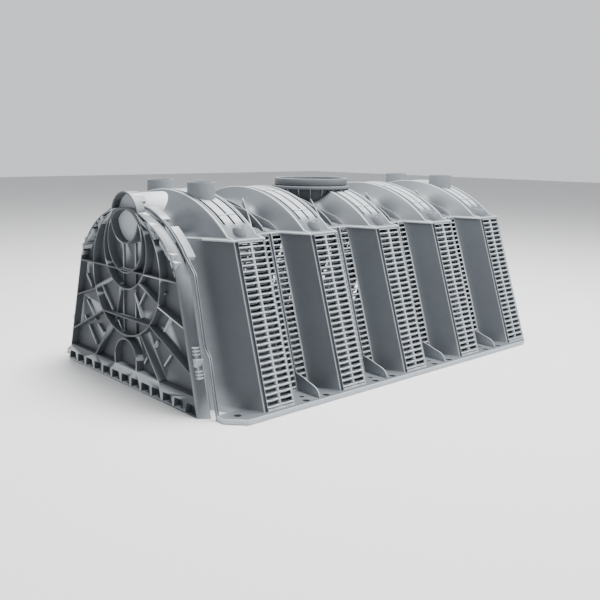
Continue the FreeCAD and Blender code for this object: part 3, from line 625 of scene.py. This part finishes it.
fin_parts = []
for side in (-1, 1):
    line = []
    for x in wall_stations():
        if x >= FIRST_RIDGE - FLARE:
            half = VALLEY["eave"] + (RIDGE["eave"] - VALLEY["eave"]) * ridge_weight(x)
            line.append((x, side * (half - 1.2), EAVE - 0.6))
    fin_parts.append(bead("eave_bead", line, EAVE_BEAD))
for index in range(RIDGES):
    start = FIRST_RIDGE + index * PITCH
    for place, radius in RIDGE_BEADS:
        line = [(start + place, -RIDGE["eave"] + 3, EAVE)]
        line += [(start + place, y, arch_height(RIDGE, y) - radius + 1.4)
                 for y in range(-248, 249, RIDGE_BEAD_STEP)]
        line.append((start + place, RIDGE["eave"] - 3, EAVE))
        fin_parts.append(bead("ridge_bead", line, radius))
for index in range(RIDGES - 1):
    x = fin_place + index * PITCH
    fin_parts.append(solid("fin", *fin_solid(x), [rounded(0.9)]))
    for side in (-1, 1):
        for turn in (-1, 1):
            fin_parts.append(solid("web", *web_solid(x, side, turn), [rounded(0.7)]))


# The end collars: plain stretches at both ends that the end plates close. The near one's lip is doubled
# and steps outward low down, where the plate's clips hook in through slots, and pads stand on its arch.
COLLAR = {"base": 339, "shoulder": 242, "height": 309, "crown": 450}
LIP_STEP, LIP_STEP_LOW, LIP_STEP_HIGH, LIP_FADE_STEPS = 11, 132, 156, 6
COLLAR_HEIGHTS = [0, 12, 30, 50, 70, 90, 110, 132, 138, 144, 150, 156, 180, 220, 260, 300]
FLARE_START = FIRST_RIDGE - FLARE
PADS = ((-579, -556, ((69, 446), (90, 439), (110, 431), (130, 421))),
        (-575, -553, ((156, 406), (180, 388), (204, 366), (224, 343))))
PAD_THICK = (6, 9)
CLIP_SLOTS = (((-571, 270, 126), (-554, 330, 133)), ((-559, 270, 104), (-554, 330, 133)),
              ((-559, 270, 54), (-549, 345, 84)))
far_face = FIRST_RIDGE + PITCH * (RIDGES - 1) + FACE


def collar_half(z):
    return COLLAR["base"] + (COLLAR["shoulder"] - COLLAR["base"]) * z / COLLAR["height"]


def lip_shift(z):
    """How far the lip's edge stands out from the collar's side at height z."""
    if z >= LIP_STEP_HIGH:
        return LIP_STEP * (z - LIP_STEP_HIGH) / (COLLAR["height"] - LIP_STEP_HIGH)
    low = LIP_STEP * z / LIP_STEP_LOW
    if z <= LIP_STEP_LOW:
        return low
    part = (z - LIP_STEP_LOW) / (LIP_STEP_HIGH - LIP_STEP_LOW)
    return LIP_STEP * (1 - part * part * (3 - 2 * part))


def collar_section(lift=0, lip=0):
    """Half of the collar's section, from the foot to the crown."""
    half = [(collar_half(z) + lift + lip * lip_shift(z), z) for z in COLLAR_HEIGHTS]
    radius, middle = arch_circle(COLLAR["shoulder"], COLLAR["crown"], COLLAR["height"])
    limit = math.asin(COLLAR["shoulder"] / radius)
    for i in range(ARCH_STEPS + 1):
        angle = limit * (1 - i / ARCH_STEPS)
        fade = lip * LIP_STEP * max(0, 1 - i / LIP_FADE_STEPS)
        half.append(((radius + lift) * math.sin(angle) + fade, middle + (radius + lift) * math.cos(angle)))
    return half


def ribbon(rows):
    """Points and faces of a sheet through rows of (x, half section)."""
    points, faces = [], []
    for x, half in rows:
        points += [(x, y, z) for y, z in half] + [(x, -y, z) for y, z in reversed(half[:-1])]
    count = len(points) // len(rows)
    for row in range(len(rows) - 1):
        for i in range(count - 1):
            a = row * count + i
            faces.append((a, a + 1, a + 1 + count, a + count))
    return points, faces


def collar_sheet(name, rows, thick=WALL, bevel=0):
    """A collar or lip whose outer face runs through rows of half sections."""
    modifiers = [thickened(thick)] + ([rounded(bevel)] if bevel else [])
    return sheet(name, *ribbon(rows), modifiers)


def arch_pad(x_low, x_high, tops, side):
    """A raised pad on the collar's arch, whose top follows the given points."""
    in_by, down_by = PAD_THICK
    outline = [(side * y, z) for y, z in tops] + [(side * (y - in_by), z - down_by) for y, z in tops[::-1]]
    return prism(outline, x_low, x_high)


def pierced(mesh, boxes):
    """Cuts boxes out of a wall."""
    cutter = bpy.data.objects.new("cutter", solid("cutter", *merged([box(*corners) for corners in boxes])))
    bpy.context.collection.objects.link(cutter)
    cut = ("BOOLEAN", {"operation": "DIFFERENCE", "object": cutter, "solver": "EXACT"})
    result = baked(mesh.name, mesh, [cut])
    bpy.data.objects.remove(cutter)
    return result


def along(path, part):
    """The point at a share of the length of a path."""
    lengths = [math.dist(path[i], path[i + 1]) for i in range(len(path) - 1)]
    goal = sum(lengths) * part
    for i, length in enumerate(lengths):
        if goal <= length or i == len(lengths) - 1:
            share = min(goal / length, 1)
            return tuple(path[i][k] + (path[i + 1][k] - path[i][k]) * share for k in (0, 1))
        goal -= length


def end_wall():
    """The flat wall that closes the last ridge down to the far collar."""
    steps = 60
    rows = [[along(path, i / steps) for i in range(steps + 1)] for path in (section(1)[0], collar_section(-2))]
    points, faces = [], []
    for x in (far_face - WALL, far_face):
        for row in rows:
            points += [(x, y, z) for y, z in row] + [(x, -y, z) for y, z in reversed(row[:-1])]
    count = len(points) // 4
    for i in range(count - 1):
        for a, b in ((0, 1), (1, 3), (3, 2), (2, 0)):
            faces.append((a * count + i, a * count + i + 1, b * count + i + 1, b * count + i))
    for i in (0, count - 1):
        faces.append((i, count + i, 3 * count + i, 2 * count + i))
    return points, faces


slots = []
for low, high in CLIP_SLOTS:
    slots += [(low, high), ((low[0], -high[1], low[2]), (high[0], -low[1], high[2]))]
collar_rows = [(NEAR_END + 4, collar_section(0, 1)), (NEAR_END + 12, collar_section(0, 0.9)),
               (NEAR_END + 30, collar_section(0, 0)), (FLARE_START, collar_section()),
               (FIRST_RIDGE + 10, collar_section())]
lip_rows = [(NEAR_END, collar_section(2.0, 1)), (NEAR_END + 2.6, collar_section(2.0, 1))]
inner_lip_rows = [(NEAR_END + 5.4, collar_section(1.4, 1)), (NEAR_END + 7.6, collar_section(1.4, 1))]
far_rows = [(far_face - 2, collar_section()), (FAR_END, collar_section())]
collar_parts = [
    pierced(collar_sheet("collar", collar_rows), slots),
    collar_sheet("collar_lip", lip_rows, 6, 0.9),
    collar_sheet("collar_lip_inner", inner_lip_rows, 4, 0.8),
    collar_sheet("far_collar", far_rows, WALL, 0.8),
    solid("end_wall", *end_wall(), [rounded(1.0)]),
]
for side in (-1, 1):
    for x_low, x_high, tops in PADS:
        collar_parts.append(solid("collar_pad", *arch_pad(x_low, x_high, tops, side), [rounded(1.0)]))


# The flange: a flat plate round the foot that spreads the load on the gravel, with cut corners and, on both
# sides of every fin and in the corners, holes for ground pegs.
HALF_LONG, HALF_WIDE, CORNER_CUT, FLANGE_ROUND = 580, 400, 38, 1.2
HOLE_RADIUS, HOLE_INSET, HOLE_BEFORE, HOLE_AFTER, CORNER_HOLE = 8.5, 17, 37, 28, 38
SMALL_HOLE, SMALL_HOLE_INSET, SMALL_HOLE_BEFORE = 6, 43, 26


def flat_plate(name, loops, low, high, bevel):
    """A plate cut from closed loops of (x, y), the first of them its outline, with rounded edges."""
    curve = bpy.data.curves.new(name, "CURVE")
    curve.dimensions = "2D"
    curve.fill_mode = "BOTH"
    curve.extrude = (high - low) / 2 * MM - bevel * MM
    curve.bevel_depth = bevel * MM
    curve.bevel_resolution = 2
    curve.offset = -bevel * MM
    for loop in loops:
        spline = curve.splines.new("POLY")
        spline.points.add(len(loop) - 1)
        for point, (x, y) in zip(spline.points, loop):
            point.co = (x * MM, y * MM, 0, 1)
        spline.use_cyclic_u = True
    mesh = evaluated(bpy.data.objects.new(name, curve))
    mesh.transform(Matrix.Translation((0, 0, (low + high) / 2 * MM)))
    cleaned(mesh, SAME_PLACE_FINE)
    return crisp(mesh)


def round_loop(x, y, radius, steps=20):
    """A closed circle of points."""
    return [(x + radius * math.cos(2 * math.pi * i / steps), y + radius * math.sin(2 * math.pi * i / steps))
            for i in range(steps)]


def flange_loops(side):
    """One half of the flange: its outline round the wall's foot, then its holes."""
    cut = HALF_WIDE - CORNER_CUT
    long_cut = HALF_LONG - CORNER_CUT
    foot = collar_half(0) - WALL
    inner = [(NEAR_END, foot), (FLARE_START, foot)]
    for x in wall_stations():
        if x > FLARE_START:
            inner.append((x, VALLEY["base"] + (RIDGE["base"] - VALLEY["base"]) * ridge_weight(x) - WALL))
    inner += [(far_face, foot), (FAR_END, foot)]
    outer = [(HALF_LONG, cut), (long_cut, HALF_WIDE), (-long_cut, HALF_WIDE), (-HALF_LONG, cut)]
    loops = [[(x, side * y) for x, y in inner + outer]]
    for index in range(RIDGES - 1):
        fin = fin_place + index * PITCH
        for shift in (-HOLE_BEFORE, HOLE_AFTER):
            loops.append(round_loop(fin + shift, side * (HALF_WIDE - HOLE_INSET), HOLE_RADIUS))
        small_place = (fin - SMALL_HOLE_BEFORE, side * (HALF_WIDE - SMALL_HOLE_INSET))
        loops.append(round_loop(*small_place, SMALL_HOLE, 14))
    for end in (-1, 1):
        corner_place = (end * (HALF_LONG - CORNER_HOLE), side * (HALF_WIDE - CORNER_HOLE))
        loops.append(round_loop(*corner_place, HOLE_RADIUS))
    return loops


flange_parts = [flat_plate("flange", flange_loops(side), 0, FLANGE_TOP, FLANGE_ROUND) for side in (-1, 1)]


# Fittings on the crown: the half tube that carries a pipe in at the top, four round sockets, a peg on both
# haunches of every ridge, cross bars over the crown grooves, and the large round inlet with its lip.
TUBE_RADIUS, TUBE_HEIGHT, TUBE_WALL, TUBE_SWEEP, TUBE_STEPS = 60, 416, 3.5, 0.62, 40
SOCKET_RADIUS, SOCKET_WALL, SOCKET_TOP, SOCKET_PLACE, SOCKET_FLOOR = 34.5, 3.5, 502, 90, 462
PEG_RADIUS, PEG_PLACE, PEG_TOP, PEG_RIM, PEG_HOLLOW = 16, 240, 404, 3, 2
BAR_ANGLES, BAR_ALONG, BAR_HALF, BAR_UP = (12, 31), (-24, 26), 1.4, (-3, 1.6)
INLET_PLACE, INLET_RADIUS, INLET_TOP, INLET_RING, INLET_LIP, INLET_NECK = 25, 105, 500, 20, 7, 5
INLET_WALL, INLET_FLOOR, INLET_FOOT, INLET_RIBS, INLET_RIB_HIGH, INLET_RIB_HALF = 4, 455, 400, 20, 24, 1
AXIS = 0.5


def turned(profile, centre, steps=64):
    """A turned solid from a closed profile of (radius, height)."""
    points, faces = [], []
    count = len(profile)
    for step in range(steps):
        angle = 2 * math.pi * step / steps
        points += [(centre[0] + r * math.cos(angle), centre[1] + r * math.sin(angle), z) for r, z in profile]
    for step in range(steps):
        a, b = step * count, (step + 1) % steps * count
        faces += [(a + i, a + (i + 1) % count, b + (i + 1) % count, b + i) for i in range(count)]
    return points, faces


first_middle = FIRST_RIDGE + FACE / 2
last_middle = first_middle + PITCH * (RIDGES - 1)
fitting_parts = []
tube = []
for i in range(TUBE_STEPS + 1):
    angle = math.pi * (TUBE_SWEEP * (2 * i / TUBE_STEPS - 1) + 0.5)
    tube.append((TUBE_RADIUS * math.cos(angle), TUBE_HEIGHT + TUBE_RADIUS * math.sin(angle)))
points = [(x, y, z) for x in (NEAR_END + 1, NEAR_END + 3, FIRST_RIDGE + 2) for y, z in tube]
width = TUBE_STEPS + 1
faces = [(r * width + i, r * width + i + 1, (r + 1) * width + i + 1, (r + 1) * width + i)
         for r in range(2) for i in range(TUBE_STEPS)]
fitting_parts.append(solid("half_tube", points, faces, [thickened(TUBE_WALL, False)]))
socket_bore = SOCKET_RADIUS - SOCKET_WALL
for x in (first_middle, last_middle):
    for side in (-1, 1):
        centre = (x, side * SOCKET_PLACE)
        profile = [(socket_bore, SOCKET_FLOOR + 8), (SOCKET_RADIUS, 440), (SOCKET_RADIUS, SOCKET_TOP),
                   (socket_bore, SOCKET_TOP)]
        fitting_parts.append(solid("socket", *turned(profile, centre, 48), [rounded(0.9)]))
        profile = [(AXIS, SOCKET_FLOOR), (socket_bore + 1, SOCKET_FLOOR),
                   (socket_bore + 1, SOCKET_FLOOR + 8), (AXIS, SOCKET_FLOOR + 8)]
        fitting_parts.append(solid("socket_floor", *turned(profile, centre, 48)))
peg_low, peg_bore = EAVE - 12, PEG_RADIUS - PEG_RIM
peg_profile = [(0.3, peg_low), (PEG_RADIUS, peg_low), (PEG_RADIUS, PEG_TOP), (peg_bore, PEG_TOP),
               (peg_bore, PEG_TOP - PEG_HOLLOW), (0.3, PEG_TOP - PEG_HOLLOW)]
ridge_radius, ridge_centre = arch_circle(RIDGE["spring"], RIDGE["crown"], SPRING)
for index in range(RIDGES):
    x = first_middle + index * PITCH
    for side in (-1, 1):
        fitting_parts.append(solid("peg", *turned(peg_profile, (x, side * PEG_PLACE), 28), [rounded(0.8)]))
        for angle in BAR_ANGLES:
            turn = math.radians(angle)
            out = Vector((0, side * math.sin(turn), math.cos(turn)))
            down = Vector((0, math.cos(turn), -side * math.sin(turn)))
            place = Vector((x, 0, ridge_centre)) + out * ridge_radius
            corners = [tuple(place + Vector((a, 0, 0)) + down * b + out * c)
                       for a in BAR_ALONG for b in (-BAR_HALF, BAR_HALF) for c in BAR_UP]
            fitting_parts.append(solid("cross_bar", corners, BOX_FACES, [rounded(0.5)]))
neck = INLET_RADIUS - INLET_NECK
bore = neck - INLET_WALL
lip_low = INLET_TOP - INLET_RING - 9
profile = [(bore, INLET_FLOOR), (neck, INLET_FOOT), (neck, lip_low), (INLET_RADIUS + INLET_LIP, lip_low),
           (INLET_RADIUS + INLET_LIP, lip_low + 7.5), (INLET_RADIUS - 2, lip_low + 8.5),
           (INLET_RADIUS, lip_low + 10.5), (INLET_RADIUS, INLET_TOP), (bore, INLET_TOP)]
fitting_parts.append(solid("inlet", *turned(profile, (INLET_PLACE, 0), 96), [rounded(0.9)]))
profile = [(AXIS, INLET_FLOOR), (bore + 1, INLET_FLOOR),
           (bore + 1, INLET_FLOOR + 5), (AXIS, INLET_FLOOR + 5)]
fitting_parts.append(solid("inlet_floor", *turned(profile, (INLET_PLACE, 0), 96)))
rib_outline = ((neck - 1, lip_low - INLET_RIB_HIGH), (neck - 1, lip_low), (INLET_RADIUS + 5, lip_low))
rib_faces = [(0, 2, 4), (1, 5, 3), (0, 1, 3, 2), (2, 3, 5, 4), (0, 4, 5, 1)]
for step in range(INLET_RIBS):
    turn = 2 * math.pi * (step + 0.5) / INLET_RIBS
    out = Vector((math.cos(turn), math.sin(turn), 0))
    flat = Vector((-out.y, out.x, 0))
    corners = [tuple(Vector((INLET_PLACE, 0, z)) + out * r + flat * b)
               for r, z in rib_outline for b in (-INLET_RIB_HALF, INLET_RIB_HALF)]
    fitting_parts.append(solid("inlet_rib", corners, rib_faces, [rounded(0.4)]))


# The shell is one moulding, so its walls, grilles, fins, collar, flange and fittings become one piece.
shell_parts = [walls] + grille_parts + fin_parts + collar_parts + flange_parts + fitting_parts
shell_mesh = joined("tunnel_shell_moulding", shell_parts)
finished("tunnel_shell_moulding", shell_mesh, shell_plastic, "tunnel_shell")


# The end plates are two like mouldings, clipped over the collars: a ribbed tray with cut-out rings for
# three pipe sizes, a hood for a pipe at the top, and a hollow foot beam. The mesh is the plate's own solid
# with its edges rounded, plus the hood's end disc, the treads on its rim and the bars of its clips.
PLATE_ROUND, FLAT_ANGLE = 0.8, 1
TREADS = ((60, 423), (77, 415), (97, 407), (120, 394)), ((155, 374), (173, 361), (188, 351), (206, 334))
TREAD_FRONT, TREAD_BACK, TREAD_END = -603.4, -582.5, 12
CLIP_BARS, CLIP_BAR_HALF, CLIP_BAR_FRONT, CLIP_BAR_OUT = (86, 93, 100, 136, 143, 150), 2, -596, 17
CLIP_PAD, CLIP_PAD_HALF, CLIP_PAD_FRONT, CLIP_PAD_OUT = 118, 9, -597, 17.5
CLIP_BACK, CLIP_IN, RIM_FOOT, RIM_LEAN = -578, 2, 300, 0.26
DISC_RADIUS, DISC_HALF, DISC_PLACE, DISC_AXIS = 59.9, 1.5, -583, 0.4


def plate_mesh(node):
    """The plate's own solid with its flat faces whole again and its edges rounded."""
    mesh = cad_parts[node].data.copy()
    work = bmesh.new()
    work.from_mesh(mesh)
    bmesh.ops.remove_doubles(work, verts=work.verts, dist=SAME_PLACE_FINE)
    bmesh.ops.dissolve_limit(work, angle_limit=math.radians(FLAT_ANGLE), verts=work.verts, edges=work.edges)
    bmesh.ops.recalc_face_normals(work, faces=work.faces)
    work.to_mesh(mesh)
    work.free()
    mesh.materials.clear()
    return baked(node + "_moulding", mesh, [rounded(PLATE_ROUND)])


def hood_disc():
    """The round wall at the back of the hood."""
    points, faces = turned([(DISC_AXIS, -DISC_HALF), (DISC_RADIUS, -DISC_HALF), (DISC_RADIUS, DISC_HALF),
                            (DISC_AXIS, DISC_HALF)], (0, 0), 48)
    return solid("hood_disc", [(DISC_PLACE + z, x, TUBE_HEIGHT + y) for x, y, z in points], faces)


def treads(side):
    """Two flights of four shallow steps down the rim."""
    parts = []
    for group in TREADS:
        last_y, last_z = group[-1]
        for (y, z), (next_y, next_z) in zip(group, group[1:] + ((last_y + TREAD_END, last_z - TREAD_END),)):
            outline = [(y - 3, z - 7), (y - 2, z + 1.5), (next_y - 2, z - 2.5), (next_y - 3, next_z - 7)]
            outline = [(side * a, b) for a, b in outline]
            parts.append(solid("tread", *prism(outline, TREAD_FRONT, TREAD_BACK), [rounded(0.6)]))
    return parts


def clip_block(name, side, z, half, front, out, bevel):
    """A bar or pad of a clip, standing on the leaning side of the rim at height z."""
    rim = RIM_FOOT - RIM_LEAN * z
    low, high = sorted((side * (rim + CLIP_IN), side * (rim + out)))
    return solid(name, *box((front, low, z - half), (CLIP_BACK, high, z + half)), [rounded(bevel)])


for node, turn in (("front_end_plate", 0), ("rear_end_plate", math.pi)):
    parts = [hood_disc()]
    for side in (-1, 1):
        parts += treads(side)
        for z in CLIP_BARS:
            parts.append(clip_block("clip_bar", side, z, CLIP_BAR_HALF, CLIP_BAR_FRONT, CLIP_BAR_OUT, 0.7))
        parts.append(clip_block("clip_pad", side, CLIP_PAD, CLIP_PAD_HALF, CLIP_PAD_FRONT, CLIP_PAD_OUT, 1.2))
    extras = joined("extras", parts)
    extras.transform(Matrix.Rotation(turn, 4, "Z"))
    mesh = joined(node + "_moulding", [plate_mesh(node), extras])
    finished(node + "_moulding", mesh, plate_plastic, node)


# The studio: a plain pale floor, a broad soft light above, a small one at the side, and a pale sky.
FLOOR_HALF = 12
FLOOR_COLOUR, FLOOR_ROUGHNESS = (0.50, 0.50, 0.50, 1), 0.9
SKY_COLOUR, SKY_STRENGTH = (0.95, 0.975, 1.0, 1), 0.95
LIGHTS = (
    ("key", (0.3, -0.2, 3.4), 1.8, 560),
    ("side", (1.9, -2.6, 1.3), 1.0, 26),
)
LIGHT_TARGET = Vector((0, 0, 0.2))

floor = bpy.data.objects.new("floor", bpy.data.meshes.new("floor"))
floor.data.from_pydata([(-FLOOR_HALF, -FLOOR_HALF, 0), (FLOOR_HALF, -FLOOR_HALF, 0),
                        (FLOOR_HALF, FLOOR_HALF, 0), (-FLOOR_HALF, FLOOR_HALF, 0)], [], [(0, 1, 2, 3)])
paper = bpy.data.materials.new("pale_floor")
paper.use_nodes = True
paper.node_tree.nodes["Principled BSDF"].inputs["Base Color"].default_value = FLOOR_COLOUR
paper.node_tree.nodes["Principled BSDF"].inputs["Roughness"].default_value = FLOOR_ROUGHNESS
floor.data.materials.append(paper)
bpy.context.collection.objects.link(floor)

sky = bpy.data.worlds.new("studio")
sky.use_nodes = True
sky.node_tree.nodes["Background"].inputs["Color"].default_value = SKY_COLOUR
sky.node_tree.nodes["Background"].inputs["Strength"].default_value = SKY_STRENGTH
bpy.context.scene.world = sky

for name, place, side_length, power in LIGHTS:
    lamp = bpy.data.lights.new(name, "AREA")
    lamp.size = side_length
    lamp.energy = power
    holder = bpy.data.objects.new(name, lamp)
    holder.location = place
    holder.rotation_euler = (LIGHT_TARGET - Vector(place)).to_track_quat("-Z", "Y").to_euler()
    bpy.context.collection.objects.link(holder)
